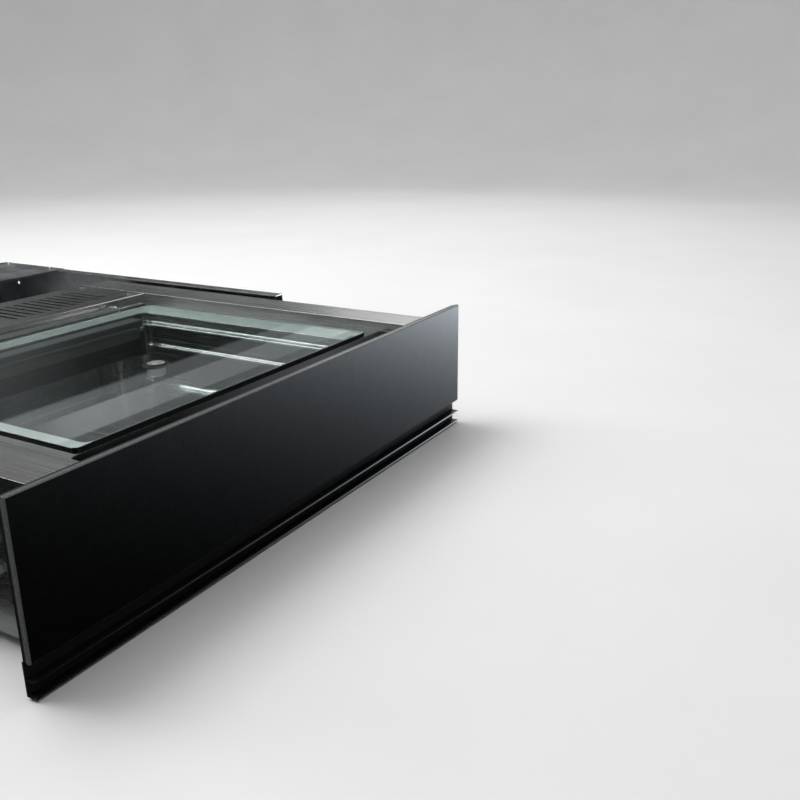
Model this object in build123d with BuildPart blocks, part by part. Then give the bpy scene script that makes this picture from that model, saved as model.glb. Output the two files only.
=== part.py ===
from build123d import *
import os

os.makedirs("parts", exist_ok=True)

# ---------------------------------------------------------------------------
# Vacuum sealing drawer. Millimetres, +Z up, the drawer opens towards -Y.
# The origin is the centre of the housing's underside, on the niche floor.
# The drawer stands 212 mm out of its housing, of a full travel of 500 mm.
# ---------------------------------------------------------------------------

# front
front_w = 590.0            # glass front, side to side
front_top = 139.0          # top edge of the glass above the niche floor
glass_h = 112.4            # height of the glass pane
glass_t = 4.0
carrier_t = 4.6
grip_depth = 7.0           # how far the band under the pane is set back
lip_t = 1.5                # thickness of the two thin lips under the pane
lip_hi = 12.9              # underside of the upper lip
lip_lo = 1.3               # underside of the lower lip

# housing
housing_w = 558.0
housing_d = 520.0
housing_h = 133.0
sheet = 1.0
base_t = 1.2
y_front = -housing_d / 2   # plane of the carcass front
y_back = housing_d / 2

# drawer position
front_proud = 21.5         # glass face ahead of the carcass when closed
rest_open = 212.0          # how far the drawer stands open
g = y_front - front_proud - rest_open   # glass face at rest

# drawer body
body_hw = 261.0            # half width of the drawer body
body_top = 129.0
body_d = 518.0             # glass face to the rear wall of the drawer
pan_z = 8.0
pan_t = 1.2
recess_hw = 218.0          # half width of the recess between the side covers
deck_z = 110.0             # top of the deck under the lid

# chamber
ch_w, ch_l, ch_h = 345.0, 290.0, 80.0
ch_front = 72.0            # front wall of the chamber behind the glass face
ch_r, low_r = 8.0, 14.0    # corner radius at the rim and below the ledge
tub_t = 1.5
step_z = (103.5, 80.0)     # levels of the ledge and of the drawn step in the chamber's walls
step_in = (10.0, 15.0)     # how far the wall stands in below each of them
rim_z = deck_z + 4.0       # top of the chamber's flange
fl_hw, fl_front, fl_rear = 196.0, 57.0, 380.0   # outline of the flange
seal_top = (179.6, 191.5, 65.0, 60.6, 369.1, 373.5)    # inner and outer half width, front and rear of the seal's top
seal_base = (172.8, 192.0, 71.8, 59.2, 362.3, 374.9)
ch_cy = ch_front + ch_l / 2
bar_d = 330.0              # centre of the sealing bar behind the glass face

# lid
lid_w, lid_l, lid_t, lid_r = 386.5, 328.0, 5.0, 4.5
lid_front = 60.0
lid_top = 123.0
lid_z = lid_top - lid_t
port_d = 173.0             # hose port behind the glass face, on the centre line
hinge_d, hinge_z = 396.0, 119.0
port_z = 64.0              # suction port in the chamber's rear wall

# rails
rail_zc = 60.0
rail_l = 490.0
rail_in_d, rail_in_l = 76.0, 440.0   # the inner rail starts behind the drawer's plain front part
rail_fix = (110, 220, 350, 490)      # screws of the inner rail, behind the glass face
ball_r = 2.0

# pump
axis_d, axis_z = 462.0, 60.0
hose_z = 28.0              # level of the vent hose from the valves to the pump


def D(d):
    """Y of a point d behind the glass face, with the drawer at rest."""
    return g + d


def rect(u0, u1, v0, v1, mode=Mode.ADD):
    with Locations(((u0 + u1) / 2, (v0 + v1) / 2)):
        Rectangle(u1 - u0, v1 - v0, mode=mode)


def block(x0, x1, y0, y1, z0, z1, mode=Mode.ADD):
    with Locations(((x0 + x1) / 2, (y0 + y1) / 2, (z0 + z1) / 2)):
        Box(x1 - x0, y1 - y0, z1 - z0, mode=mode)


def at_y(y):
    """Sketch plane at Y = y, local x = +X, local y = +Z, normal -Y."""
    return Plane.XZ.offset(-y)


def at_x(x):
    """Sketch plane at X = x, local x = +Y, local y = +Z, normal +X."""
    return Plane.YZ.offset(x)


def at_z(z):
    return Plane.XY.offset(z)


def save(builder, name):
    builder.part.label = name
    export_step(builder.part, f"parts/{name}.step")


# ===========================================================================
# HOUSING: base, two sides, back and rear tie, open at the front and top
# ===========================================================================
with BuildPart() as housing_base:
    with BuildSketch(at_z(0)):
        Rectangle(housing_w, housing_d)
        # air slots under the pump bay
        with Locations((-120, 150), (120, 150)):
            with GridLocations(14, 0, 9, 1):
                SlotOverall(60, 5, rotation=90, mode=Mode.SUBTRACT)
        # holes for fixing to the niche floor
        with Locations((-230, -235), (230, -235)):
            Circle(2.6, mode=Mode.SUBTRACT)
    extrude(amount=base_t)
    # pressed stiffening beads
    with BuildSketch(at_z(base_t)):
        with Locations((-190, -30), (190, -30), (0, -30)):
            SlotOverall(380, 16, rotation=90)
    extrude(amount=1.0, taper=45)
save(housing_base, "housing_base")

with BuildPart() as housing_side_right:
    with BuildSketch(at_y(y_front)):
        rect(278, 279, base_t, housing_h)
    extrude(amount=-housing_d)
    # turned-in flanges, top and bottom, that end at the back sheet
    with BuildSketch(at_y(y_front)):
        rect(264, 278.5, base_t, base_t + sheet)
        rect(265, 278.5, housing_h - sheet, housing_h)
    extrude(amount=-(housing_d - sheet))
    # screw holes into the furniture's side, front and rear
    with BuildSketch(at_x(277)):
        with Locations((y_front + 15, 30), (y_front + 15, 105), (y_back - 25, 105)):
            Circle(2.3)
    extrude(amount=4, mode=Mode.SUBTRACT)
    # holes down through the top flange for the tie plate's screws
    with BuildSketch(at_z(housing_h - 3)):
        with Locations((271, 150), (271, 240)):
            Circle(2.0)
    extrude(amount=5, mode=Mode.SUBTRACT)
    # holes for the rail rivets
    with BuildSketch(at_x(277)):
        with Locations((-225, rail_zc), (-60, rail_zc), (110, rail_zc), (225, rail_zc)):
            Circle(2.0)
    extrude(amount=4, mode=Mode.SUBTRACT)
save(housing_side_right, "housing_side_right")

with BuildPart() as housing_side_left:
    mirror(housing_side_right.part, about=Plane.YZ)
save(housing_side_left, "housing_side_left")

with BuildPart() as housing_back:
    with BuildSketch(at_y(y_back - sheet)):
        rect(-278, 278, base_t, housing_h)
        # socket cut-out
        rect(-214, -186, 82, 102.4, mode=Mode.SUBTRACT)
        # exhaust slots behind the pump bay
        with Locations((110, 66)):
            with GridLocations(13, 0, 12, 1):
                SlotOverall(62, 5, rotation=90, mode=Mode.SUBTRACT)
        # release unit's fixing holes
        with Locations((-16, 62.5), (16, 62.5)):
            Circle(1.6, mode=Mode.SUBTRACT)
    extrude(amount=-sheet)
save(housing_back, "housing_back")

with BuildPart() as housing_rear_tie:
    with BuildSketch(at_z(housing_h)):
        rect(-279, 279, 130, 260)
        with Locations((-271, 150), (-271, 240), (271, 150), (271, 240)):
            Circle(2.0, mode=Mode.SUBTRACT)
        with Locations((0, 195)):
            with GridLocations(150, 0, 3, 1):
                SlotOverall(90, 8, mode=Mode.SUBTRACT)
    extrude(amount=sheet)
    # turned-down front edge that stiffens it
    with BuildSketch(at_y(130)):
        rect(-262, 262, housing_h - 2.0, housing_h)
    extrude(amount=-sheet)
save(housing_rear_tie, "housing_rear_tie")

# pan-head screws of the tie plate and flush rivets of the outer rails
with BuildPart() as housing_fasteners:
    with BuildSketch(at_z(housing_h + sheet)):
        with Locations((-271, 150), (-271, 240), (271, 150), (271, 240)):
            Circle(3.6)
    extrude(amount=1.8)
    fillet(housing_fasteners.faces().sort_by(Axis.Z)[-4:].edges(), 1.0)
    with BuildSketch(at_z(housing_h + sheet)):
        with Locations((-271, 150), (-271, 240), (271, 150), (271, 240)):
            Circle(1.8)
    extrude(amount=-5.0)
    with BuildSketch(at_z(housing_h + sheet + 1.8)):
        with Locations((-271, 150), (-271, 240), (271, 150), (271, 240)):
            Rectangle(0.8, 4.0)
            Rectangle(4.0, 0.8)
    extrude(amount=-0.9, mode=Mode.SUBTRACT)
    # flush rivets of the outer rails
    for s in (1, -1):
        for y in (-225, -60, 110, 225):
            with BuildSketch(at_x(s * 275.95)):
                with Locations((y, rail_zc)):
                    Circle(3.6)
            extrude(amount=s * 0.55)
            with BuildSketch(at_x(s * 276.5)):
                with Locations((y, rail_zc)):
                    Circle(1.9)
            extrude(amount=s * 2.5)
save(housing_fasteners, "housing_fasteners")

# mains socket in the housing's back: flange, body with a deep well, 3 pins
with BuildPart() as mains_socket:
    with BuildSketch(at_y(y_back)):
        with Locations((-200, 92.2)):
            RectangleRounded(50, 23, 3)
    extrude(amount=-2.0)
    with BuildSketch(at_y(y_back)):
        with Locations((-200, 92.2)):
            RectangleRounded(27.6, 20.0, 2)
    extrude(amount=17.0)
    with BuildSketch(at_y(y_back + 2.0)):
        with Locations((-200, 92.2)):
            RectangleRounded(24.2, 16.4, 3)
    extrude(amount=15.5, mode=Mode.SUBTRACT)
    with BuildSketch(at_y(y_back - 13.5)):
        with Locations((-207, 90.2), (-193, 90.2), (-200, 94.2)):
            Rectangle(2.0, 4.0)
    extrude(amount=-9.0)
    with BuildSketch(at_y(y_back + 2.0)):
        with Locations((-220.5, 92.2), (-179.5, 92.2)):
            Circle(1.7)
    extrude(amount=2.0, mode=Mode.SUBTRACT)
save(mains_socket, "mains_socket")

# touch-release unit on the housing's back wall
with BuildPart() as release_body:
    with BuildSketch(at_y(y_back - sheet)):
        with Locations((0, 62.5)):
            RectangleRounded(44, 24, 4)
    extrude(amount=16.0)
    fillet(release_body.edges().group_by(Axis.Y)[0], 1.2)
    with BuildSketch(at_y(y_back - sheet - 16)):
        with Locations((0, 62.5)):
            Circle(6.05)
    extrude(amount=-15.0, mode=Mode.SUBTRACT)
    with BuildSketch(at_y(y_back - sheet - 13)):
        with Locations((0, 62.5)):
            Circle(8.1)
    extrude(amount=-12.0, mode=Mode.SUBTRACT)
save(release_body, "release_body")

with BuildPart() as release_plunger:
    with BuildSketch(at_y(237.0)):
        with Locations((0, 62.5)):
            Circle(6.0)
    extrude(amount=-13.5)
    with BuildSketch(at_y(246.1)):
        with Locations((0, 62.5)):
            Circle(8.0)
    extrude(amount=-2.4)
    fillet(release_plunger.edges().group_by(Axis.Y)[0], 1.6)
    with BuildSketch(at_y(250.5)):
        with Locations((0, 62.5)):
            Circle(3.6)
    extrude(amount=6.0, mode=Mode.SUBTRACT)
save(release_plunger, "release_plunger")

# ===========================================================================
# TELESCOPIC RAILS: outer, middle and inner member with two ball cages a side
# ===========================================================================
y_rail = y_front + 4.0

with BuildPart() as rail_outer_right:
    with BuildSketch(at_y(y_rail)):
        rect(276.5, 278, rail_zc - 23, rail_zc + 23)
        rect(265, 277, rail_zc + 21.5, rail_zc + 23)
        rect(265, 277, rail_zc - 23, rail_zc - 21.5)
    extrude(amount=-rail_l)
    with BuildSketch(at_x(276)):
        with Locations((-225, rail_zc), (-60, rail_zc), (110, rail_zc), (225, rail_zc)):
            Circle(2.0)
        with Locations((-140, rail_zc), (30, rail_zc), (170, rail_zc)):
            SlotOverall(16, 6)
    extrude(amount=4, mode=Mode.SUBTRACT)
save(rail_outer_right, "rail_outer_right")

with BuildPart() as rail_outer_left:
    mirror(rail_outer_right.part, about=Plane.YZ)
save(rail_outer_left, "rail_outer_left")

y_mid = y_front + 14.0 - rest_open / 2
with BuildPart() as rail_middle_right:
    with BuildSketch(at_y(y_mid)):
        rect(272.5, 274, rail_zc - 17.4, rail_zc + 17.4)
        rect(264.5, 273, rail_zc + 15.9, rail_zc + 17.4)
        rect(264.5, 273, rail_zc - 17.4, rail_zc - 15.9)
    extrude(amount=-480)
    with BuildSketch(at_x(272)):
        with Locations((y_mid + 60, rail_zc), (y_mid + 200, rail_zc), (y_mid + 420, rail_zc)):
            SlotOverall(30, 12)
    extrude(amount=3, mode=Mode.SUBTRACT)
save(rail_middle_right, "rail_middle_right")

with BuildPart() as rail_middle_left:
    mirror(rail_middle_right.part, about=Plane.YZ)
save(rail_middle_left, "rail_middle_left")

with BuildPart() as rail_inner_right:
    with BuildSketch(at_y(D(rail_in_d))):
        rect(261, 262.5, rail_zc - 11.8, rail_zc + 11.8)
        rect(262, 270.5, rail_zc + 10.3, rail_zc + 11.8)
        rect(262, 270.5, rail_zc - 11.8, rail_zc - 10.3)
    extrude(amount=-rail_in_l)
    with BuildSketch(at_x(260.5)):
        for d in rail_fix:
            with Locations((D(d), rail_zc)):
                Circle(2.0)
    extrude(amount=3, mode=Mode.SUBTRACT)
save(rail_inner_right, "rail_inner_right")

with BuildPart() as rail_inner_left:
    mirror(rail_inner_right.part, about=Plane.YZ)
save(rail_inner_left, "rail_inner_left")


def cage(y0, length, zoff, x0, web0, web1, xb):
    """C-shaped cage strip with a row of balls along its top and bottom."""
    ys = [y0 + length * (i + 0.5) / 8 for i in range(8)]
    with BuildPart() as c:
        with BuildSketch(at_y(y0)):
            rect(x0, web1, rail_zc + zoff - 0.4, rail_zc + zoff + 0.4)
            rect(x0, web1, rail_zc - zoff - 0.4, rail_zc - zoff + 0.4)
            rect(web0, web1, rail_zc - zoff, rail_zc + zoff)
        extrude(amount=-length)
        with BuildSketch(at_z(rail_zc - zoff - 1)):
            with Locations(*[(xb, y) for y in ys]):
                Circle(ball_r + 0.08)
        extrude(amount=2 * zoff + 2, mode=Mode.SUBTRACT)
        with Locations(*[(xb, y, rail_zc + s * zoff) for y in ys for s in (1, -1)]):
            Sphere(ball_r)
    return c


y_ball_o = y_front + 130 - rest_open / 4
y_ball_i = y_front + 142 - rest_open * 3 / 4
cage_outer_r = cage(y_ball_o, 235, 19.45, 265.8, 274.9, 275.6, 268.6)
cage_inner_r = cage(y_ball_i, 225, 13.85, 264.9, 271.2, 271.9, 267.2)
with BuildPart() as rail_balls_outer:
    add(cage_outer_r.part)
    mirror(cage_outer_r.part, about=Plane.YZ)
save(rail_balls_outer, "rail_balls_outer")
with BuildPart() as rail_balls_inner:
    add(cage_inner_r.part)
    mirror(cage_inner_r.part, about=Plane.YZ)
save(rail_balls_inner, "rail_balls_inner")

# ===========================================================================
# DRAWER BODY: pan, side covers, deck, rear cover
# ===========================================================================
with BuildPart() as chassis_pan:
    # floor
    with BuildSketch(at_z(pan_z)):
        rect(-260, 260, D(20), D(body_d))
        with Locations((0, D(455))):
            with GridLocations(16, 0, 24, 1):
                SlotOverall(52, 5, rotation=90, mode=Mode.SUBTRACT)
        with Locations((218, D(180)), (-218, D(150))):
            with GridLocations(0, 14, 1, 6):
                SlotOverall(46, 5, mode=Mode.SUBTRACT)
    extrude(amount=pan_t)
    # upright walls
    block(-260, 260, D(20), D(20) + pan_t, pan_z, deck_z - pan_t)
    block(-260, 260, D(body_d) - pan_t, D(body_d), pan_z, body_top - pan_t)
    block(260 - pan_t, 260, D(20), D(body_d), pan_z, deck_z - pan_t)
    block(-260, -260 + pan_t, D(20), D(body_d), pan_z, deck_z - pan_t)
    # rear wall's air slots and the rail screws' holes
    with BuildSketch(at_y(D(body_d) + 1)):
        with Locations((-90, 78)):
            with GridLocations(12, 0, 20, 1):
                SlotOverall(58, 5, rotation=90)
    extrude(amount=4, mode=Mode.SUBTRACT)
    with BuildSketch(at_x(-262)):
        for d in rail_fix:
            with Locations((D(d), rail_zc)):
                Circle(2.0)
    extrude(amount=524, mode=Mode.SUBTRACT)
save(chassis_pan, "chassis_pan")

with BuildPart() as side_cover_right:
    with BuildSketch(at_y(D(9.0))) as sk:
        with BuildLine():
            # outer skin of the folded sheet: up the side, over, down inside
            Polyline(
                (261, pan_z), (261, body_top), (recess_hw, body_top), (recess_hw, deck_z),
                (232, deck_z), (232, deck_z + pan_t), (recess_hw + pan_t, deck_z + pan_t),
                (recess_hw + pan_t, body_top - pan_t), (260, body_top - pan_t),
                (260, pan_z), (261, pan_z),
            )
        make_face()
        fillet(sk.vertices().filter_by(lambda v: v.Z > body_top - 0.1), 1.6)
    extrude(amount=-(body_d - 9.0 - 1.3))
    with BuildSketch(at_x(259)):
        for d in rail_fix:
            with Locations((D(d), rail_zc)):
                Circle(2.0)
    extrude(amount=4, mode=Mode.SUBTRACT)
save(side_cover_right, "side_cover_right")

with BuildPart() as side_cover_left:
    mirror(side_cover_right.part, about=Plane.YZ)
save(side_cover_left, "side_cover_left")

with BuildPart() as deck_plate:
    with BuildSketch(at_z(deck_z - pan_t)):
        rect(-232, 232, D(8.8), D(404.0))
        with Locations((0, D(ch_cy))):
            RectangleRounded(ch_w + 2 * tub_t + 3, ch_l + 2 * tub_t + 3, ch_r + 3, mode=Mode.SUBTRACT)
        # slot for the touch panel's ribbon and the hinge screws
        with Locations((0, D(28))):
            SlotOverall(60, 10, mode=Mode.SUBTRACT)
        with Locations((-167, D(395)), (-175, D(395)), (167, D(395)), (175, D(395))):
            Circle(1.6, mode=Mode.SUBTRACT)
    extrude(amount=pan_t)
save(deck_plate, "deck_plate")

with BuildPart() as rear_cover:
    with BuildSketch(at_z(body_top - pan_t)):
        rect(-217.5, 217.5, D(406.0), D(body_d))
        # louvre slots over the pump bay
        with Locations((-110, D(462)), (110, D(462))):
            with GridLocations(12, 0, 12, 1):
                SlotOverall(70, 4.5, rotation=90, mode=Mode.SUBTRACT)
        with Locations((-205, D(418)), (205, D(418)), (-205, D(505)), (205, D(505))):
            Circle(2.0, mode=Mode.SUBTRACT)
    extrude(amount=pan_t)
    # front wall and side flanges turned down
    block(-217.5, 217.5, D(406.0), D(406.0) + pan_t, deck_z - pan_t, body_top - 0.6)
    block(-217.5, -217.5 + pan_t, D(406.0), D(516.0), 116, body_top - 0.6)
    block(217.5 - pan_t, 217.5, D(406.0), D(516.0), 116, body_top - 0.6)
    fillet(
        rear_cover.edges().filter_by(Axis.X).filter_by(
            lambda e: abs(e.center().Z - body_top) < 0.01 and abs(e.center().Y - D(406.0)) < 0.01
        ),
        1.0,
    )
save(rear_cover, "rear_cover")

# ===========================================================================
# FRONT: glass pane, carrier, frame, lower profile with two lips
# ===========================================================================
pane_bot = front_top - glass_h

with BuildPart() as front_glass:
    with BuildSketch(at_y(D(0))):
        rect(-front_w / 2, front_w / 2, pane_bot, front_top)
    extrude(amount=-glass_t)
    chamfer(front_glass.faces().sort_by(Axis.Y)[0].edges(), 0.9)
    chamfer(front_glass.edges().filter_by(Axis.X).sort_by(Axis.Z)[-1], 0.4)
save(front_glass, "front_glass")

with BuildPart() as front_carrier:
    # bond line, inset all round, then the plate itself
    with BuildSketch(at_y(D(glass_t))):
        rect(-front_w / 2 + 1.6, front_w / 2 - 1.6, pane_bot + 1.4, front_top - 2.0)
    extrude(amount=-0.6)
    with BuildSketch(at_y(D(glass_t + 0.6))):
        rect(-front_w / 2 + 0.6, front_w / 2 - 0.6, pane_bot + 0.4, front_top - 0.9)
    extrude(amount=-(carrier_t - 0.6))
    chamfer(front_carrier.faces().sort_by(Axis.Y)[-1].edges(), 0.7)
save(front_carrier, "front_carrier")

with BuildPart() as front_frame:
    # steel channel between the carrier and the pan
    y0, y1 = D(glass_t + carrier_t), D(20)
    block(-256, 256, y1 - 1.5, y1, 10, 108.6)
    block(-256, 256, y0, y1, 107.1, 108.6)
    block(-256, 256, y0, y1, 10, 11.5)
    block(-256, -254.5, y0, y1, 10, 108.6)
    block(254.5, 256, y0, y1, 10, 108.6)
    # flanges that the carrier is screwed to
    block(-256, 256, y0, y0 + 1.5, 95, 108.6)
    block(-256, 256, y0, y0 + 1.5, 10, 36)
    with BuildSketch(at_y(D(8))):
        for x in (-230, -80, 80, 230):
            with Locations((x, 102), (x, 31)):
                Circle(1.7)
    extrude(amount=-3, mode=Mode.SUBTRACT)
    # windows in the rear web that lighten it
    with BuildSketch(at_y(D(17))):
        for x in (-160, 0, 160):
            with Locations((x, 62)):
                RectangleRounded(110, 50, 8)
    extrude(amount=-4, mode=Mode.SUBTRACT)
save(front_frame, "front_frame")

with BuildPart() as grip_profile:
    # extruded profile: spine with two lips that reach to the pane's plane
    ys = D(grip_depth)
    with BuildSketch(at_x(-front_w / 2)) as gsk:
        rect(ys, D(glass_t + carrier_t), lip_lo, pane_bot)
        rect(D(0), ys + 0.8, lip_hi, lip_hi + lip_t)
        rect(D(0), ys + 0.8, lip_lo, lip_lo + lip_t)
        fillet(gsk.vertices().filter_by(lambda v: v.Y < D(0.1)), 0.5)
    extrude(amount=front_w)
save(grip_profile, "grip_profile")

# countersunk and pan-head screws of the drawer
with BuildPart() as drawer_screws:
    # rear cover
    for x in (-205, 205):
        for d in (418, 505):
            with BuildSketch(at_z(body_top)):
                with Locations((x, D(d))):
                    Circle(3.4)
            extrude(amount=1.4)
            with BuildSketch(at_z(body_top)):
                with Locations((x, D(d))):
                    Circle(1.8)
            extrude(amount=-8)
            with BuildSketch(at_z(body_top + 1.4)):
                with Locations((x, D(d))):
                    RegularPolygon(1.5, 6)
            extrude(amount=-0.9, mode=Mode.SUBTRACT)
    # front frame to carrier
    for x in (-230, -80, 80, 230):
        for z in (102, 31):
            with BuildSketch(at_y(D(10.1))):
                with Locations((x, z)):
                    Circle(3.2)
            extrude(amount=-1.6)
            with BuildSketch(at_y(D(10.1))):
                with Locations((x, z)):
                    Circle(1.6)
            extrude(amount=1.45)
    # rails to the drawer's sides: flat heads lie inside the inner rail's channel
    for s in (1, -1):
        for d in rail_fix:
            with BuildSketch(at_x(s * 262.5)):
                with Locations((D(d), rail_zc)):
                    Circle(3.4)
            extrude(amount=s * 1.2)
            with BuildSketch(at_x(s * 262.5)):
                with Locations((D(d), rail_zc)):
                    Circle(1.8)
            extrude(amount=-s * 5.0)
save(drawer_screws, "drawer_screws")

# ===========================================================================
# TOUCH PANEL: black glass strip on a plastic frame, with its board
# ===========================================================================
with BuildPart() as touch_panel_glass:
    with BuildSketch(at_z(121)) as tsk:
        rect(-214.5, 214.5, D(10.2), D(48.2))
        fillet(tsk.vertices().group_by(Axis.Y)[-1], 11.5)
    extrude(amount=3.0)
    chamfer(touch_panel_glass.faces().sort_by(Axis.Z)[-1].edges(), 0.6)
save(touch_panel_glass, "touch_panel_glass")

with BuildPart() as touch_panel_frame:
    with BuildSketch(at_z(deck_z)) as fsk:
        rect(-216.5, 216.5, D(9.6), D(49.8))
        fillet(fsk.vertices().group_by(Axis.Y)[-1], 13.0)
    extrude(amount=11.0)
    with BuildSketch(at_z(deck_z)) as fsk2:
        rect(-214.3, 214.3, D(11.8), D(47.6))
        fillet(fsk2.vertices().group_by(Axis.Y)[-1], 11.0)
    extrude(amount=11.0, mode=Mode.SUBTRACT)
    # cross ribs that carry the board
    for x in (-150, -88, -30, 30, 88, 150):
        block(x - 1, x + 1, D(11.0), D(48.4), deck_z, 116.8)
save(touch_panel_frame, "touch_panel_frame")

with BuildPart() as touch_board:
    with BuildSketch(at_z(116.8)):
        rect(-95, 95, D(13), D(46))
    extrude(amount=1.6)
    # touch pads, driver and connector
    for i in range(6):
        with Locations((-75 + 30 * i, D(30), 118.4 + 0.9)):
            Cylinder(7, 1.8)
    block(-12, 12, D(20), D(24), 115.4, 116.8)
    block(50, 62, D(24), D(36), 115.6, 116.8)
save(touch_board, "touch_board")

# ===========================================================================
# VACUUM CHAMBER
# ===========================================================================
floor_z = rim_z - ch_h
sections = (
    (0.0, ch_r, step_z[0], rim_z + 4),
    (step_in[0], low_r, step_z[1], step_z[0]),
    (step_in[1], low_r - 2, floor_z, step_z[1]),
)

with BuildPart() as cavity:
    for inset, r, z0, z1 in sections:
        with BuildSketch(at_z(z0)):
            with Locations((0, D(ch_cy))):
                RectangleRounded(ch_w - 2 * inset, ch_l - 2 * inset, r)
        extrude(amount=z1 - z0)
    fillet(cavity.edges().filter_by(lambda e: abs(e.center().Z - step_z[0]) < 0.01), 1.6)
    fillet(cavity.edges().filter_by(lambda e: abs(e.center().Z - step_z[1]) < 0.01), 1.4)
    fillet(cavity.faces().sort_by(Axis.Z)[0].edges(), 8)

with BuildPart() as chamber_tub:
    for inset, r, z0, z1 in sections:
        z1 = min(z1, rim_z) - (tub_t if inset else 0)
        with BuildSketch(at_z(z0 - tub_t)):
            with Locations((0, D(ch_cy))):
                RectangleRounded(ch_w - 2 * inset + 2 * tub_t, ch_l - 2 * inset + 2 * tub_t, r + tub_t)
        extrude(amount=z1 - z0 + tub_t)
    fillet(chamber_tub.faces().sort_by(Axis.Z)[0].edges(), 8 + tub_t)
    # flange, and its turned-down edge that stands on the deck
    with BuildSketch(at_z(rim_z - tub_t)):
        with Locations((0, D((fl_front + fl_rear) / 2))):
            RectangleRounded(2 * fl_hw, fl_rear - fl_front, 10)
    extrude(amount=tub_t)
    with BuildSketch(at_z(deck_z)):
        with Locations((0, D((fl_front + fl_rear) / 2))):
            RectangleRounded(2 * fl_hw, fl_rear - fl_front, 10)
            RectangleRounded(2 * (fl_hw - tub_t), fl_rear - fl_front - 2 * tub_t, 10 - tub_t, mode=Mode.SUBTRACT)
    extrude(amount=rim_z - deck_z)
    fillet(chamber_tub.faces().sort_by(Axis.Z)[-1].outer_wire().edges(), 1.0)
    add(cavity.part, mode=Mode.SUBTRACT)
    # rounded rim
    fillet(
        chamber_tub.faces().filter_by(Axis.Z).sort_by(Axis.Z)[-1].inner_wires().edges(), 1.2
    )
    # rolled groove under the rim
    with BuildSketch(at_z(108.2)):
        with Locations((0, D(ch_cy))):
            RectangleRounded(ch_w + 1.2, ch_l + 1.2, ch_r + 0.6)
    extrude(amount=2.2, mode=Mode.SUBTRACT)
    # hole for the suction fitting in the rear wall
    with BuildSketch(at_y(D(ch_front + ch_l - step_in[1] - 4))):
        with Locations((110, port_z)):
            Circle(8.1)
    extrude(amount=-8, mode=Mode.SUBTRACT)
    # holes for the two contact posts in the floor
    with BuildSketch(at_z(floor_z - 4)):
        with Locations((-96, D(bar_d)), (96, D(bar_d))):
            Circle(5.1)
    extrude(amount=8, mode=Mode.SUBTRACT)
save(chamber_tub, "chamber_tub")

with BuildPart() as chamber_seal:
    # lip seal: its inner side slopes up and out from the rim, its top meets the glass
    for k, mode in ((1, Mode.ADD), (0, Mode.SUBTRACT)):
        for z, q, r in ((rim_z, seal_base, (8.3, 9.0)[k]), (lid_z - 0.05, seal_top, (6.0, 8.0)[k])):
            hw, d0, d1 = q[k], q[2 + k], q[4 + k]
            with BuildSketch(at_z(z)):
                with Locations((0, D((d0 + d1) / 2))):
                    RectangleRounded(2 * hw, d1 - d0, r)
        loft(mode=mode)
save(chamber_seal, "chamber_seal")

rear_in = D(ch_front + ch_l - step_in[1])   # inner face of the chamber's rear wall at the port
with BuildPart() as suction_fitting:
    # strainer cap inside the chamber, threaded nipple through the wall
    with BuildSketch(at_y(rear_in - 6)):
        with Locations((110, port_z)):
            Circle(15)
    extrude(amount=-6)
    fillet(suction_fitting.edges().group_by(Axis.Y)[0], 2.0)
    with BuildSketch(at_y(rear_in)):
        with Locations((110, port_z)):
            Circle(8.0)
    extrude(amount=-20)
    with BuildSketch(at_y(rear_in + 2.0)):
        with Locations((110, port_z)):
            RegularPolygon(11.0, 6)
    extrude(amount=-5)
    with BuildSketch(at_y(rear_in - 4)):
        with Locations((110, port_z)):
            Circle(4.0)
    extrude(amount=-26, mode=Mode.SUBTRACT)
    with BuildSketch(at_y(rear_in - 6.5)):
        with Locations((110, port_z)):
            with PolarLocations(9.5, 10):
                Circle(1.3)
            with PolarLocations(5.0, 5):
                Circle(1.3)
    extrude(amount=-4.5, mode=Mode.SUBTRACT)
save(suction_fitting, "suction_fitting")

# two posts carry the sealing bar and feed its heating current
with BuildPart() as contact_posts:
    for x in (-96, 96):
        with BuildSketch(at_z(20)):
            with Locations((x, D(bar_d))):
                Circle(5.0)
        extrude(amount=70)
        with BuildSketch(at_z(floor_z)):
            with Locations((x, D(bar_d))):
                Circle(6.9)
        extrude(amount=3.0)
        with BuildSketch(at_z(72)):
            with Locations((x, D(bar_d))):
                Circle(8.0)
        extrude(amount=5.9)
        with BuildSketch(at_z(24)):
            with Locations((x, D(bar_d))):
                RegularPolygon(8.5, 6)
        extrude(amount=5.0)
    fillet(contact_posts.edges().group_by(Axis.Z)[-1], 1.2)
save(contact_posts, "contact_posts")

# ===========================================================================
# SEALING BAR, lifts 4 mm against the strip under the lid
# ===========================================================================
with BuildPart() as sealing_bar:
    with BuildSketch(at_x(-125)) as bsk:
        rect(D(bar_d - 7.5), D(bar_d + 7.5), 78, 105.2)
        fillet(bsk.vertices().group_by(Axis.Y)[0], 1.2)
        fillet(bsk.vertices().group_by(Axis.Y)[-1], 1.2)
    extrude(amount=250)
    # channels along both sides, as in an extrusion
    with BuildSketch(at_x(-125)):
        rect(D(bar_d - 8), D(bar_d - 5.5), 86, 92)
        rect(D(bar_d + 5.5), D(bar_d + 8), 86, 92)
    extrude(amount=250, mode=Mode.SUBTRACT)
    with BuildSketch(at_z(78)):
        with Locations((-96, D(bar_d)), (96, D(bar_d))):
            Circle(5.06)
    extrude(amount=17, mode=Mode.SUBTRACT)
save(sealing_bar, "sealing_bar")

with BuildPart() as sealing_bar_caps:
    # end caps that the hand lifts the bar by
    for s in (1, -1):
        with BuildSketch(at_x(s * 125)) as csk:
            rect(D(bar_d - 8.3), D(bar_d + 8.3), 76, 105.8)
            fillet(csk.vertices(), 1.5)
        extrude(amount=s * 7)
    fillet(
        sealing_bar_caps.edges().filter_by(
            lambda e: abs(abs(e.center().X) - 132) < 0.01
        ),
        1.2,
    )
save(sealing_bar_caps, "sealing_bar_caps")

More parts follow.
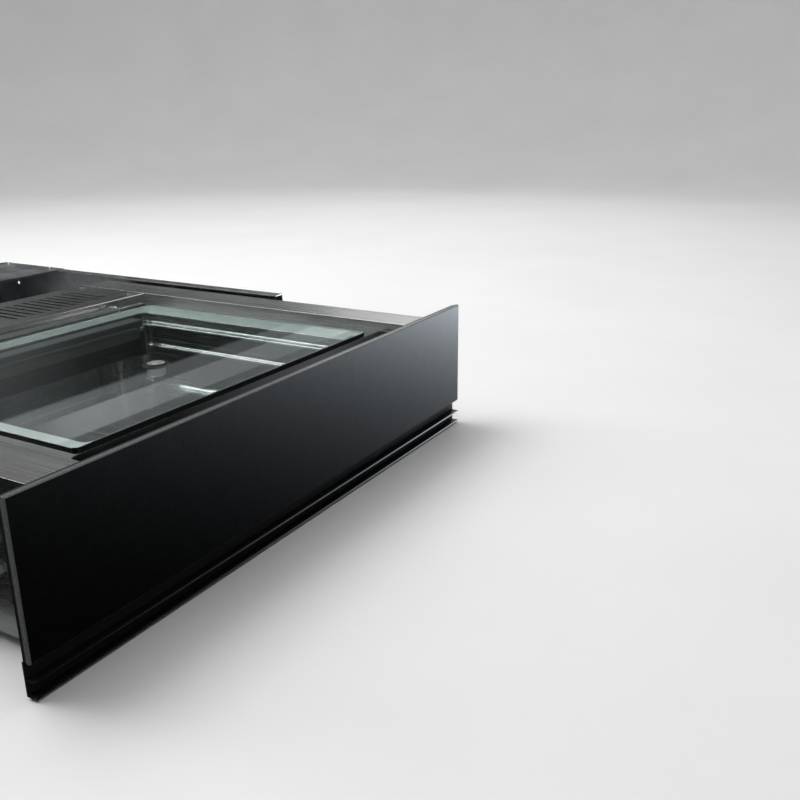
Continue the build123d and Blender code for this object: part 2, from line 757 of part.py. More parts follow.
with BuildPart() as heating_bands:
    for d in (bar_d - 2.5, bar_d + 2.5):
        block(-123, 123, D(d - 1.25), D(d + 1.25), 105.2, 105.6)
save(heating_bands, "heating_bands")

with BuildPart() as release_tape:
    # smooth tape over the bands, turned down over both sides
    with BuildSketch(at_x(-124)):
        rect(D(bar_d - 7.9), D(bar_d + 7.9), 105.6, 105.9)
        rect(D(bar_d - 7.9), D(bar_d - 7.55), 97, 105.9)
        rect(D(bar_d + 7.55), D(bar_d + 7.9), 97, 105.9)
    extrude(amount=248)
save(release_tape, "release_tape")

# ===========================================================================
# GLASS LID with rear clamp, hose port and counter strip
# ===========================================================================
with BuildPart() as glass_lid:
    cy = lid_front + lid_l / 2
    with BuildSketch(at_z(lid_z)):
        with Locations((0, D(cy))):
            RectangleRounded(lid_w, lid_l, lid_r)
        with Locations((0, D(port_d))):
            Circle(8.9, mode=Mode.SUBTRACT)
    extrude(amount=lid_t)
    # ground arrises round both faces
    chamfer(glass_lid.faces().sort_by(Axis.Z)[-1].outer_wire().edges(), 0.5)
    chamfer(glass_lid.faces().sort_by(Axis.Z)[0].outer_wire().edges(), 0.6)
save(glass_lid, "glass_lid")

with BuildPart() as lid_port_fitting:
    with BuildSketch(at_z(107)):
        with Locations((0, D(port_d))):
            Circle(8.6)
    extrude(amount=lid_top - 0.4 - 107)
    chamfer(lid_port_fitting.edges().group_by(Axis.Z)[-1], 0.5)
    chamfer(lid_port_fitting.edges().group_by(Axis.Z)[0], 0.8)
    # blind seat for a hose spigot
    with BuildSketch(at_z(lid_top - 0.4)):
        with Locations((0, D(port_d))):
            Circle(5.5)
    extrude(amount=-12, mode=Mode.SUBTRACT)
    # groove that the rubber ring sits in
    with BuildSketch(at_z(lid_z - 2.4)):
        with Locations((0, D(port_d))):
            Circle(9.5)
            Circle(8.1, mode=Mode.SUBTRACT)
    extrude(amount=2.2, mode=Mode.SUBTRACT)
save(lid_port_fitting, "lid_port_fitting")

with BuildPart() as lid_port_gasket:
    with BuildSketch(at_z(lid_z - 2.3)):
        with Locations((0, D(port_d))):
            Circle(12.6)
            Circle(8.15, mode=Mode.SUBTRACT)
    extrude(amount=2.0)
    # its neck fills the gap up to the glass
    with BuildSketch(at_z(lid_z - 0.3)):
        with Locations((0, D(port_d))):
            Circle(12.6)
            Circle(8.7, mode=Mode.SUBTRACT)
    extrude(amount=0.3)
    fillet(lid_port_gasket.edges().filter_by(GeomType.CIRCLE).group_by(Axis.Z)[0].sort_by(SortBy.RADIUS)[-1], 0.8)
save(lid_port_gasket, "lid_port_gasket")

with BuildPart() as counter_strip:
    with BuildSketch(at_x(-129)) as ksk:
        rect(D(bar_d - 8.5), D(bar_d + 8.5), 110.5, lid_z)
        fillet(ksk.vertices().group_by(Axis.Z)[0], 1.0)
    extrude(amount=258)
save(counter_strip, "counter_strip")

with BuildPart() as lid_clamp:
    # channel over the rear edge of the glass with the hinge barrel behind it
    with BuildSketch(at_x(-150)) as lsk:
        rect(D(379), D(391), lid_z - 1.8, 124.4)
        with Locations((D(hinge_d), hinge_z)):
            Circle(4.6)
        rect(D(390), D(hinge_d), hinge_z - 3.0, hinge_z + 3.0)
        rect(D(378), D(388.2), lid_z, lid_top, mode=Mode.SUBTRACT)
    extrude(amount=300)
    # seats of the two hinge pins
    for s in (1, -1):
        with BuildSketch(at_x(s * 151)):
            with Locations((D(hinge_d), hinge_z)):
                Circle(3.02)
        extrude(amount=-s * 21, mode=Mode.SUBTRACT)
save(lid_clamp, "lid_clamp")

with BuildPart() as hinge_pins:
    for s in (1, -1):
        with BuildSketch(at_x(s * 131)):
            with Locations((D(hinge_d), hinge_z)):
                Circle(3.0)
        extrude(amount=s * 28)
        with BuildSketch(at_x(s * 157.3)):
            with Locations((D(hinge_d), hinge_z)):
                Circle(4.4)
        extrude(amount=s * 1.8)
save(hinge_pins, "hinge_pins")

with BuildPart() as hinge_brackets:
    for s in (1, -1):
        with BuildSketch(at_x(s * 151.5)) as hsk:
            rect(D(389.5), D(402.5), deck_z, hinge_z)
            with Locations((D(hinge_d), hinge_z)):
                Circle(6.5)
            with Locations((D(hinge_d), hinge_z)):
                Circle(3.05, mode=Mode.SUBTRACT)
        extrude(amount=s * 5.4)
        x0, x1 = sorted((s * 152, s * 182))
        with BuildSketch(at_z(deck_z)):
            rect(x0, x1, D(388.5), D(403.0))
            with Locations((s * 167, D(395)), (s * 175, D(395))):
                Circle(1.6, mode=Mode.SUBTRACT)
        extrude(amount=1.6)
save(hinge_brackets, "hinge_brackets")

# ===========================================================================
# PUMP in the rear bay: motor, fan and rotary-vane pump on one shaft along X
# ===========================================================================
ay = D(axis_d)
with BuildPart() as pump_motor:
    # finned barrel with two end shields
    with BuildSketch(at_x(-58)):
        with Locations((ay, axis_z)):
            Circle(38)
    extrude(amount=116)
    with BuildSketch(at_x(-44)):
        with Locations((ay, axis_z)):
            with PolarLocations(38.5, 24):
                Rectangle(5.0, 2.0)
    extrude(amount=88)
    with BuildSketch(at_x(-50)):
        with Locations((ay, axis_z)):
            Circle(33.5)
    extrude(amount=100, mode=Mode.SUBTRACT)
    # bearing seats and shaft holes
    for s in (1, -1):
        with BuildSketch(at_x(s * 49)):
            with Locations((ay, axis_z)):
                Circle(17)
        extrude(amount=s * 9)
        with BuildSketch(at_x(s * 44)):
            with Locations((ay, axis_z)):
                Circle(17)
        extrude(amount=s * 6)
        with BuildSketch(at_x(s * 43)):
            with Locations((ay, axis_z)):
                Circle(13.0)
        extrude(amount=s * 12, mode=Mode.SUBTRACT)
        with BuildSketch(at_x(s * 43)):
            with Locations((ay, axis_z)):
                Circle(8.0)
        extrude(amount=s * 20, mode=Mode.SUBTRACT)
    # cable box on top
    with BuildSketch(at_z(94)):
        rect(-20, 22, ay - 17, ay + 17)
    extrude(amount=16)
    with BuildSketch(at_z(30)):
        rect(-30, 30, ay - 30, ay + 30)
    extrude(amount=-12)
    with BuildSketch(at_x(-50)):
        with Locations((ay, axis_z)):
            Circle(33.5)
    extrude(amount=100, mode=Mode.SUBTRACT)
save(pump_motor, "pump_motor")

with BuildPart() as motor_stator:
    with BuildSketch(at_x(-24)):
        with Locations((ay, axis_z)):
            Circle(33.3)
            Circle(20.6, mode=Mode.SUBTRACT)
    extrude(amount=48)
    # winding heads at both ends
    for s in (1, -1):
        with BuildSketch(at_x(s * 24)):
            with Locations((ay, axis_z)):
                Circle(31)
                Circle(22, mode=Mode.SUBTRACT)
        extrude(amount=s * 12, taper=12)
save(motor_stator, "motor_stator")

with BuildPart() as motor_bearings:
    for s in (1, -1):
        with BuildSketch(at_x(s * 44)):
            with Locations((ay, axis_z)):
                Circle(12.98)
                Circle(6.05, mode=Mode.SUBTRACT)
        extrude(amount=s * 8)
save(motor_bearings, "motor_bearings")

with BuildPart() as motor_rotor:
    # shaft, iron core, drive end
    with BuildSketch(at_x(-84)):
        with Locations((ay, axis_z)):
            Circle(6.0)
    extrude(amount=84 + 76)
    with BuildSketch(at_x(-24)):
        with Locations((ay, axis_z)):
            Circle(20.0)
    extrude(amount=48)
    with BuildSketch(at_x(-38)):
        with Locations((ay, axis_z)):
            Circle(9.0)
    extrude(amount=76)
save(motor_rotor, "motor_rotor")

with BuildPart() as motor_fan:
    with BuildSketch(at_x(-82)):
        with Locations((ay, axis_z)):
            Circle(12)
            Circle(6.02, mode=Mode.SUBTRACT)
    extrude(amount=14)
    with BuildSketch(at_x(-70)):
        with Locations((ay, axis_z)):
            Circle(34)
            Circle(6.02, mode=Mode.SUBTRACT)
    extrude(amount=2)
    with BuildSketch(at_x(-82)):
        with Locations((ay, axis_z)):
            with PolarLocations(22, 9):
                Rectangle(22, 2.0)
    extrude(amount=13)
save(motor_fan, "motor_fan")

with BuildPart() as fan_cowl:
    with BuildSketch(at_x(-92)):
        with Locations((ay, axis_z)):
            Circle(41)
    extrude(amount=38)
    fillet(fan_cowl.edges().group_by(Axis.X)[0], 4)
    with BuildSketch(at_x(-90.2)):
        with Locations((ay, axis_z)):
            Circle(39.2)
    extrude(amount=40, mode=Mode.SUBTRACT)
    # air grille
    with BuildSketch(at_x(-93)):
        with Locations((ay, axis_z)):
            with PolarLocations(20, 12, start_angle=15):
                SlotOverall(24, 5.5)
    extrude(amount=5, mode=Mode.SUBTRACT)
save(fan_cowl, "fan_cowl")

with BuildPart() as pump_block:
    with BuildSketch(at_x(59)):
        rect(ay - 40, ay + 40, 22, 98)
    extrude(amount=86)
    fillet(pump_block.edges().filter_by(Axis.X), 5)
    # cooling fins along the top
    for i in range(8):
        x = 70 + 9 * i
        block(x, x + 3, ay - 33, ay + 33, 96, 108)
    # bore that the shaft runs in
    with BuildSketch(at_x(58)):
        with Locations((ay, axis_z)):
            Circle(6.06)
    extrude(amount=22, mode=Mode.SUBTRACT)
    # bolted end plate
    with BuildSketch(at_x(145)):
        with Locations((ay, axis_z)):
            Circle(34)
    extrude(amount=6)
    with BuildSketch(at_x(151)):
        with Locations((ay, axis_z)):
            with PolarLocations(28, 6):
                Circle(3.2)
    extrude(amount=2.5)
    # suction and exhaust bosses
    with BuildSketch(at_y(ay - 40)):
        with Locations((110, port_z)):
            Circle(9.0)
    extrude(amount=5)
    with BuildSketch(at_x(144)):
        with Locations((ay - 22, 90)):
            Circle(7.0)
    extrude(amount=12)
    with BuildSketch(at_x(144)):
        with Locations((ay - 25, hose_z)):
            Circle(6.0)
    extrude(amount=16)
    # feet
    for x in (66, 128):
        block(x, x + 12, ay - 36, ay + 36, 16, 24)
save(pump_block, "pump_block")

# rubber mounts between the pan and the pump set
with BuildPart() as pump_mounts:
    for x in (-22, 22, 72, 134):
        for dy in (-24, 24):
            with BuildSketch(at_z(pan_z + pan_t)):
                with Locations((x, ay + dy)):
                    Circle(7.0)
            extrude(amount=(16 if x > 50 else 18) - pan_z - pan_t)
save(pump_mounts, "pump_mounts")

with BuildPart() as exhaust_filter:
    with BuildSketch(at_x(166)):
        with Locations((ay - 22, 90)):
            Circle(17)
    extrude(amount=66)
    fillet(exhaust_filter.edges().group_by(Axis.X)[0], 4)
    fillet(exhaust_filter.edges().group_by(Axis.X)[-1], 4)
    with BuildSketch(at_x(156)):
        with Locations((ay - 22, 90)):
            Circle(7.0)
    extrude(amount=12)
    with BuildSketch(at_x(190)):
        with Locations((ay - 22, 90)):
            Circle(18.4)
    extrude(amount=9)
save(exhaust_filter, "exhaust_filter")

# suction hose from the chamber's nipple to the pump, with two clamps
hose_y0, hose_y1 = rear_in + 20.0, ay - 45.0
with BuildPart() as vacuum_hose:
    with BuildSketch(at_y(hose_y0)):
        with Locations((110, port_z)):
            Circle(7.5)
            Circle(4.0, mode=Mode.SUBTRACT)
    extrude(amount=-(hose_y1 - hose_y0))
    for y in (hose_y0 + 3, hose_y1 - 9):
        with BuildSketch(at_y(y)):
            with Locations((110, port_z)):
                Circle(8.4)
                Circle(7.0, mode=Mode.SUBTRACT)
        extrude(amount=-6)
save(vacuum_hose, "vacuum_hose")

# ===========================================================================
# SIDE BAYS: transformer and power board left, valves right
# ===========================================================================
with BuildPart() as transformer:
    # laminated core with the coil through it, on a foot plate
    block(-250, -194, D(120), D(190), 12, 62)
    block(-255, -189, D(126), D(184), pan_z + pan_t, 12)
    block(-243, -201, D(112), D(198), 20, 54)
save(transformer, "transformer")

with BuildPart() as power_board:
    with BuildSketch(at_z(17.2)):
        rect(-256, -184, D(215), D(375))
        with Locations((-251, D(220)), (-189, D(220)), (-251, D(370)), (-189, D(370))):
            Circle(1.7, mode=Mode.SUBTRACT)
    extrude(amount=1.6)
    # capacitors, relays, heat sink, connectors and four stand-offs
    for x, d, r, h in ((-240, 240, 9, 32), (-240, 262, 9, 32), (-212, 236, 6, 20), (-200, 252, 5, 16)):
        with BuildSketch(at_z(18.8)):
            with Locations((x, D(d))):
                Circle(r)
        extrude(amount=h)
    for d in (285, 305, 325):
        block(-250, -222, D(d), D(d + 15), 18.8, 34)
    for i in range(5):
        block(-212 + 5 * i, -210 + 5 * i, D(282), D(342), 20.6, 48)
    block(-213, -189, D(282), D(342), 18.8, 21.0)
    for d in (352, 362):
        block(-246, -196, D(d), D(d + 6), 18.8, 28)
    for x in (-251, -189):
        for d in (220, 370):
            with BuildSketch(at_z(pan_z + pan_t)):
                with Locations((x, D(d))):
                    Circle(3.2)
            extrude(amount=8.0)
save(power_board, "power_board")

with BuildPart() as valve_manifold:
    block(192, 244, D(250), D(345), pan_z + pan_t, 36)
    fillet(valve_manifold.edges().filter_by(Axis.Z), 3)
    # hose barbs on the rear face
    for x in (204, 232):
        with BuildSketch(at_y(D(345))):
            with Locations((x, hose_z)):
                Circle(4.0)
        extrude(amount=-14)
        for k in (4, 8, 12):
            with BuildSketch(at_y(D(345 + k))):
                with Locations((x, hose_z)):
                    Circle(4.8)
            extrude(amount=-1.6, taper=20)
save(valve_manifold, "valve_manifold")

# vent hose from the manifold to the pump's end plate
vh = [(204.0, D(359), hose_z), (204.0, D(437), hose_z), (160.0, D(437), hose_z)]
with BuildPart() as valve_hose:
    with BuildLine() as vpath:
        FilletPolyline(*vh, radius=19.0)
    with BuildSketch(Plane(origin=vpath.line @ 0, z_dir=vpath.line % 0)):
        Circle(6.0)
        Circle(3.0, mode=Mode.SUBTRACT)
    sweep()
save(valve_hose, "valve_hose")

with BuildPart() as solenoid_valves:
    for d in (266, 297.5, 329):
        with BuildSketch(at_z(36)):
            with Locations((218, D(d))):
                Circle(8.0)
        extrude(amount=6)
        with BuildSketch(at_z(42)):
            with Locations((218, D(d))):
                RectangleRounded(26, 24, 3)
        extrude(amount=30)
        with BuildSketch(at_z(72)):
            with Locations((218, D(d))):
                Circle(7.0)
        extrude(amount=5)
        block(231, 238, D(d) - 6, D(d) + 6, 52, 64)
save(solenoid_valves, "solenoid_valves")

print("glass face at rest Y", round(g, 2))
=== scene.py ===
import math

import bmesh
import bpy
from mathutils import Matrix, Vector

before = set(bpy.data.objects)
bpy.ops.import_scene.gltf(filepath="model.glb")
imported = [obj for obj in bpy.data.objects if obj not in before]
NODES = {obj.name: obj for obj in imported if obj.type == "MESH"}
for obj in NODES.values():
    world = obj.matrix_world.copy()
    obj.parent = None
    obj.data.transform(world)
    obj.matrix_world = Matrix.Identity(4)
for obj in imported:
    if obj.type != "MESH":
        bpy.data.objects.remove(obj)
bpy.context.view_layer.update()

G = -0.4935                       # front face of the glass at rest


def D(d):
    """Y of a point d millimetres behind the glass face, in metres."""
    return G + d / 1000.0


# ---------------------------------------------------------------------------
# camera
# ---------------------------------------------------------------------------
cam_data = bpy.data.cameras.new("camera")
cam_data.lens = 39.87
cam_data.sensor_width = 36.0
cam_data.clip_start = 0.01
cam_data.clip_end = 60.0
cam = bpy.data.objects.new("camera", cam_data)
bpy.context.scene.collection.objects.link(cam)
cx = Vector((0.49688, -0.86776, -0.00994))
cy = Vector((0.27611, 0.14722, 0.94979))
cz = cx.cross(cy)
m = Matrix.Identity(4)
for i in range(3):
    m[i][0], m[i][1], m[i][2] = cx[i], cy[i], cz[i]
m.translation = Vector((-0.5839, -0.9231, 0.3487))
cam.matrix_world = m
bpy.context.scene.camera = cam


# ---------------------------------------------------------------------------
# node helpers
# ---------------------------------------------------------------------------
class Tree:
    def __init__(self, name):
        self.mat = bpy.data.materials.new(name)
        self.mat.use_nodes = True
        self.nt = self.mat.node_tree
        self.p = self.nt.nodes["Principled BSDF"]
        self.out = self.nt.nodes["Material Output"]
        self.tc = self.nt.nodes.new("ShaderNodeTexCoord")

    def node(self, kind, **props):
        n = self.nt.nodes.new(kind)
        for k, v in props.items():
            setattr(n, k, v)
        return n

    def link(self, a, b):
        self.nt.links.new(a, b)

    def set(self, **values):
        for k, v in values.items():
            self.p.inputs[k.replace("_", " ")].default_value = v

    def mapped(self, scale, rot=(0, 0, 0), loc=(0, 0, 0)):
        mp = self.node("ShaderNodeMapping")
        mp.inputs["Scale"].default_value = scale
        mp.inputs["Rotation"].default_value = rot
        mp.inputs["Location"].default_value = loc
        self.link(self.tc.outputs["Object"], mp.inputs["Vector"])
        return mp.outputs["Vector"]

    def xyz(self):
        s = self.node("ShaderNodeSeparateXYZ")
        self.link(self.tc.outputs["Object"], s.inputs[0])
        return s.outputs

    def noise(self, vec, scale=1.0, detail=2.0, rough=0.5):
        n = self.node("ShaderNodeTexNoise")
        n.inputs["Scale"].default_value = scale
        n.inputs["Detail"].default_value = detail
        n.inputs["Roughness"].default_value = rough
        self.link(vec, n.inputs["Vector"])
        return n.outputs["Fac"]

    def cells(self, vec, feature="F1", output="Distance", randomness=1.0):
        n = self.node("ShaderNodeTexVoronoi", feature=feature)
        n.inputs["Scale"].default_value = 1.0
        n.inputs["Randomness"].default_value = randomness
        self.link(vec, n.inputs["Vector"])
        return n.outputs[output]

    def remap(self, value, a, b, c, d, smooth=False):
        n = self.node("ShaderNodeMapRange")
        if smooth:
            n.interpolation_type = "SMOOTHSTEP"
        for i, v in zip((1, 2, 3, 4), (a, b, c, d)):
            n.inputs[i].default_value = v
        self.link(value, n.inputs[0])
        return n.outputs[0]

    def math(self, op, a, b=None):
        n = self.node("ShaderNodeMath", operation=op)
        for i, v in enumerate((a, b)):
            if v is None:
                continue
            if isinstance(v, (int, float)):
                n.inputs[i].default_value = v
            else:
                self.link(v, n.inputs[i])
        return n.outputs[0]

    def mix(self, fac, a, b):
        n = self.node("ShaderNodeMix", data_type="RGBA")
        self.link(fac, n.inputs["Factor"])
        for i, v in ((6, a), (7, b)):
            if isinstance(v, tuple):
                n.inputs[i].default_value = (*v, 1.0)
            else:
                self.link(v, n.inputs[i])
        return n.outputs[2]

    def ramp(self, value, stops, kind="LINEAR"):
        n = self.node("ShaderNodeValToRGB")
        r = n.color_ramp
        r.interpolation = kind
        while len(r.elements) < len(stops):
            r.elements.new(0.5)
        for e, (pos, col) in zip(r.elements, stops):
            e.position = pos
            e.color = (*col, 1.0)
        self.link(value, n.inputs["Fac"])
        return n.outputs["Color"]

    def bump(self, height, strength=0.2, distance=0.0002, normal=None):
        n = self.node("ShaderNodeBump")
        n.inputs["Strength"].default_value = strength
        n.inputs["Distance"].default_value = distance
        self.link(height, n.inputs["Height"])
        if normal is not None:
            self.link(normal, n.inputs["Normal"])
        return n.outputs["Normal"]

    def grooves(self, along):
        """Tangent across grooves that run along one axis."""
        ge = self.node("ShaderNodeNewGeometry")
        cr = self.node("ShaderNodeVectorMath", operation="CROSS_PRODUCT")
        self.link(ge.outputs["Normal"], cr.inputs[0])
        cr.inputs[1].default_value = {"X": (1, 0.02, 0.01), "Y": (0.02, 1, 0.01), "Z": (0.02, 0.01, 1)}[along]
        self.link(cr.outputs[0], self.p.inputs["Tangent"])

    def to(self, value, name):
        self.link(value, self.p.inputs[name])


def brushed(name, color=(0.60, 0.60, 0.595), along="Y", rough=0.27, grain=0.2, dark=0.94, aniso=0.5, broad=0.10, vary=0.5):
    """Brushed sheet steel: fine grooves along one axis, wider streaks, faint handling marks."""
    t = Tree(name)
    def sc(s, l):
        return tuple(l if a == along else s for a in "XYZ")
    f = t.noise(t.mapped(sc(3600.0, 14.0)), 1.0, 2.0, 0.6)
    md = t.noise(t.mapped(sc(900.0, 5.0), loc=(3.1, 1.7, 9.2)), 1.0, 3.0, 0.65)
    w = t.noise(t.mapped(sc(210.0, 1.6), loc=(7.3, 4.1, 2.2)), 1.0, 3.0, 0.6)
    smudge = t.noise(t.mapped((9, 7, 9), loc=(1.3, 8.1, 4.4)), 1.0, 4.0, 0.55)
    mix = t.math("ADD", t.math("MULTIPLY", f, 0.65 - broad), t.math("ADD", t.math("MULTIPLY", md, 0.35), t.math("MULTIPLY", w, broad)))
    c0 = tuple(c * dark for c in color)
    t.to(t.ramp(mix, [(0.36, c0), (0.64, color)]), "Base Color")
    r = t.math("ADD", t.remap(mix, 0.35, 0.65, rough - 0.07 * vary, rough + 0.08 * vary), t.remap(smudge, 0.3, 0.7, -0.02, 0.04))
    t.to(r, "Roughness")
    t.to(t.bump(mix, 0.30 * grain, 0.00006), "Normal")
    t.set(Metallic=1.0, Anisotropic=aniso)
    t.grooves(along)
    return t.mat


def satin_metal(name, color, rough=0.3, metallic=1.0, grain=900.0, bump=0.15, spread=0.05):
    t = Tree(name)
    f = t.noise(t.mapped((grain,) * 3), 1.0, 3.0, 0.6)
    s = t.noise(t.mapped((14, 14, 14)), 1.0, 4.0, 0.6)
    t.to(t.ramp(f, [(0.3, tuple(c * 0.86 for c in color)), (0.7, color)]), "Base Color")
    t.to(t.math("ADD", t.remap(f, 0.3, 0.7, rough - spread, rough + spread), t.remap(s, 0.3, 0.7, -0.03, 0.05)), "Roughness")
    t.to(t.bump(f, bump, 0.00008), "Normal")
    t.set(Metallic=metallic)
    return t.mat


def galvanised(name, color=(0.47, 0.485, 0.50), cell=85.0, rough=0.36):
    """Hot-dip galvanised sheet: angular spangles that differ in tone and gloss, faint rolling lines."""
    t = Tree(name)
    warp = t.noise(t.mapped((60, 60, 60)), 1.0, 2.0, 0.5)
    mp = t.mapped((cell,) * 3)
    add = t.node("ShaderNodeVectorMath", operation="ADD")
    t.link(mp, add.inputs[0])
    t.link(warp, add.inputs[1])
    tone = t.cells(add.outputs[0], output="Color")
    grey = t.node("ShaderNodeSeparateColor")
    t.link(tone, grey.inputs[0])
    fine = t.noise(t.mapped((1500, 90, 1500)), 1.0, 2.0, 0.6)
    lo, hi = tuple(c * 0.80 for c in color), tuple(min(c * 1.10, 1) for c in color)
    t.to(t.mix(t.math("ADD", t.math("MULTIPLY", grey.outputs[0], 0.7), t.math("MULTIPLY", fine, 0.3)), lo, hi), "Base Color")
    t.to(t.math("ADD", t.remap(grey.outputs[1], 0, 1, rough - 0.07, rough + 0.07), t.remap(fine, 0.3, 0.7, -0.03, 0.03)), "Roughness")
    t.to(t.bump(fine, 0.18, 0.00006), "Normal")
    t.set(Metallic=1.0)
    return t.mat


def plastic(name, color, rough=0.45, grain=1400.0, bump=0.12):
    t = Tree(name)
    f = t.noise(t.mapped((grain,) * 3), 1.0, 2.0, 0.5)
    s = t.noise(t.mapped((20, 20, 20)), 1.0, 4.0, 0.6)
    t.to(t.ramp(s, [(0.3, tuple(c * 0.85 for c in color)), (0.7, color)]), "Base Color")
    t.to(t.math("ADD", t.remap(f, 0.3, 0.7, rough - 0.06, rough + 0.06), t.remap(s, 0.3, 0.7, -0.02, 0.04)), "Roughness")
    t.to(t.bump(f, bump, 0.0001), "Normal")
    return t.mat


M = {}
M["steel_y"] = brushed("brushed_steel_lengthways")
M["steel_x"] = brushed("brushed_steel_crossways", along="X")
# outer side skins: the same brushed steel darkened to 0.24, as painted shade
M["steel_side"] = brushed("brushed_steel_skin_painted_shade", color=(0.24, 0.245, 0.25), rough=0.24)
# chamber steel darker than the outer steel (0.52 against 0.60): painted shade inside the chamber
M["tub"] = brushed("drawn_steel_painted_shade", color=(0.52, 0.53, 0.525), along="Y", rough=0.20, grain=0.6, dark=0.66, aniso=0.55, broad=0.30, vary=1.0)
M["zinc"] = galvanised("galvanised_sheet")
M["rail"] = satin_metal("zinc_plated_rail", (0.56, 0.57, 0.58), 0.30, grain=900.0, bump=0.04)
M["chrome"] = satin_metal("polished_steel", (0.72, 0.72, 0.73), 0.10, bump=0.03, spread=0.02)
M["turned"] = satin_metal("turned_steel", (0.74, 0.74, 0.74), 0.16, bump=0.05, spread=0.03)
M["satin_turned"] = satin_metal("satin_turned_steel", (0.86, 0.86, 0.86), 0.36, bump=0.05, spread=0.04)
M["screw"] = satin_metal("screw_steel", (0.60, 0.60, 0.61), 0.25)
M["cast"] = satin_metal("cast_alloy", (0.40, 0.41, 0.42), 0.48, grain=700.0, bump=0.5)
M["brass"] = satin_metal("turned_brass", (0.70, 0.52, 0.24), 0.24)
M["plated_brass"] = satin_metal("plated_brass", (0.55, 0.54, 0.51), 0.24)
M["copper"] = satin_metal("enamelled_copper", (0.62, 0.26, 0.12), 0.32)
M["laminate"] = satin_metal("laminated_core", (0.20, 0.20, 0.21), 0.42, grain=500.0)
M["dark_alu"] = satin_metal("dark_anodised", (0.012, 0.012, 0.013), 0.40, metallic=0.3)
# grip profile body near-black: painted shade in its slot
M["dark_band"] = satin_metal("dark_band_painted_shade", (0.010, 0.010, 0.011), 0.42, metallic=0.3)
M["bright_alu"] = satin_metal("cut_aluminium", (0.80, 0.80, 0.81), 0.22)
M["heater"] = satin_metal("heater_alloy", (0.55, 0.53, 0.50), 0.30)
M["black_plastic"] = plastic("black_plastic", (0.018, 0.018, 0.019))
M["white_plastic"] = plastic("white_plastic", (0.72, 0.72, 0.70))
M["silicone"] = plastic("dark_silicone", (0.045, 0.047, 0.05), 0.55)
M["seal"] = plastic("pale_silicone", (0.37, 0.38, 0.375), 0.50)
M["rubber"] = plastic("black_rubber", (0.02, 0.02, 0.021), 0.62)
M["motor_paint"] = plastic("motor_paint", (0.05, 0.055, 0.06), 0.38)
M["board"] = plastic("board_green", (0.02, 0.13, 0.05), 0.35)
M["tape"] = plastic("glass_cloth_tape", (0.075, 0.066, 0.055), 0.5)
M["yellow_tape"] = plastic("coil_tape", (0.62, 0.46, 0.10), 0.42)
M["blue_can"] = plastic("capacitor_sleeve", (0.02, 0.05, 0.16), 0.35)
M["blue_coil"] = plastic("coil_housing", (0.02, 0.10, 0.22), 0.40)


def dark_pane():
    """Dark satin glass with a very fine, even speckle."""
    t = Tree("dark_glass")
    sp = t.noise(t.mapped((2600,) * 3), 1.0, 2.0, 0.6)
    cl = t.noise(t.mapped((60,) * 3), 1.0, 3.0, 0.6)
    t.to(t.ramp(sp, [(0.42, (0.0012, 0.0013, 0.0014)), (0.70, (0.0036, 0.0037, 0.0039))]), "Base Color")
    t.to(t.math("ADD", t.remap(sp, 0.3, 0.7, 0.24, 0.31), t.remap(cl, 0.3, 0.7, -0.01, 0.02)), "Roughness")
    t.set(Metallic=0.0, IOR=1.5)
    return t.mat


def ground_edge():
    """Ground and fire-polished edge of the dark pane."""
    t = Tree("ground_glass_edge")
    sp = t.noise(t.mapped((900, 2600, 2600)), 1.0, 3.0, 0.6)
    t.to(t.ramp(sp, [(0.3, (0.060, 0.063, 0.066)), (0.7, (0.105, 0.109, 0.112))]), "Base Color")
    t.to(t.remap(sp, 0.3, 0.7, 0.20, 0.34), "Roughness")
    t.to(t.bump(sp, 0.15, 0.00005), "Normal")
    t.set(Metallic=0.0, IOR=1.55, Coat_Weight=0.4, Coat_Roughness=0.18)
    return t.mat


def black_gloss():
    t = Tree("black_glass")
    s = t.noise(t.mapped((30,) * 3), 1.0, 4.0, 0.6)
    t.to(t.ramp(s, [(0.3, (0.0008, 0.0008, 0.0010)), (0.7, (0.0014, 0.0014, 0.0016))]), "Base Color")
    t.to(t.remap(s, 0.3, 0.7, 0.03, 0.06), "Roughness")
    t.set(IOR=1.5)
    return t.mat


def clear_glass():
    t = Tree("clear_glass")
    s = t.noise(t.mapped((25,) * 3), 1.0, 4.0, 0.6)
    t.to(t.remap(s, 0.3, 0.7, 0.0, 0.02), "Roughness")
    t.set(IOR=1.52, Base_Color=(0.97, 0.99, 0.985, 1))
    t.p.inputs["Transmission Weight"].default_value = 1.0
    tr = t.node("ShaderNodeBsdfTransparent")
    tr.inputs[0].default_value = (0.80, 0.88, 0.86, 1)
    lp = t.node("ShaderNodeLightPath")
    mx = t.node("ShaderNodeMixShader")
    t.link(lp.outputs["Is Shadow Ray"], mx.inputs[0])
    t.link(t.p.outputs[0], mx.inputs[1])
    t.link(tr.outputs[0], mx.inputs[2])
    t.link(mx.outputs[0], t.out.inputs["Surface"])
    va = t.node("ShaderNodeVolumeAbsorption")
    va.inputs["Color"].default_value = (0.38, 0.74, 0.66, 1)
    va.inputs["Density"].default_value = 12.0
    t.link(va.outputs[0], t.out.inputs["Volume"])
    return t.mat


def lid_edge():
    """Ground front edge of the lid, near-black and opaque: painted shade in place of the clear glass."""
    t = Tree("ground_lid_edge_painted_dark")
    sp = t.noise(t.mapped((1200, 2600, 2600)), 1.0, 3.0, 0.6)
    t.to(t.ramp(sp, [(0.3, (0.010, 0.014, 0.013)), (0.7, (0.022, 0.028, 0.026))]), "Base Color")
    t.to(t.remap(sp, 0.3, 0.7, 0.28, 0.40), "Roughness")
    t.to(t.bump(sp, 0.15, 0.00005), "Normal")
    t.set(IOR=1.5)
    return t.mat


M["lid_edge"] = lid_edge()
M["pane"] = dark_pane()
M["pane_edge"] = ground_edge()
M["black_glass"] = black_gloss()
M["glass"] = clear_glass()

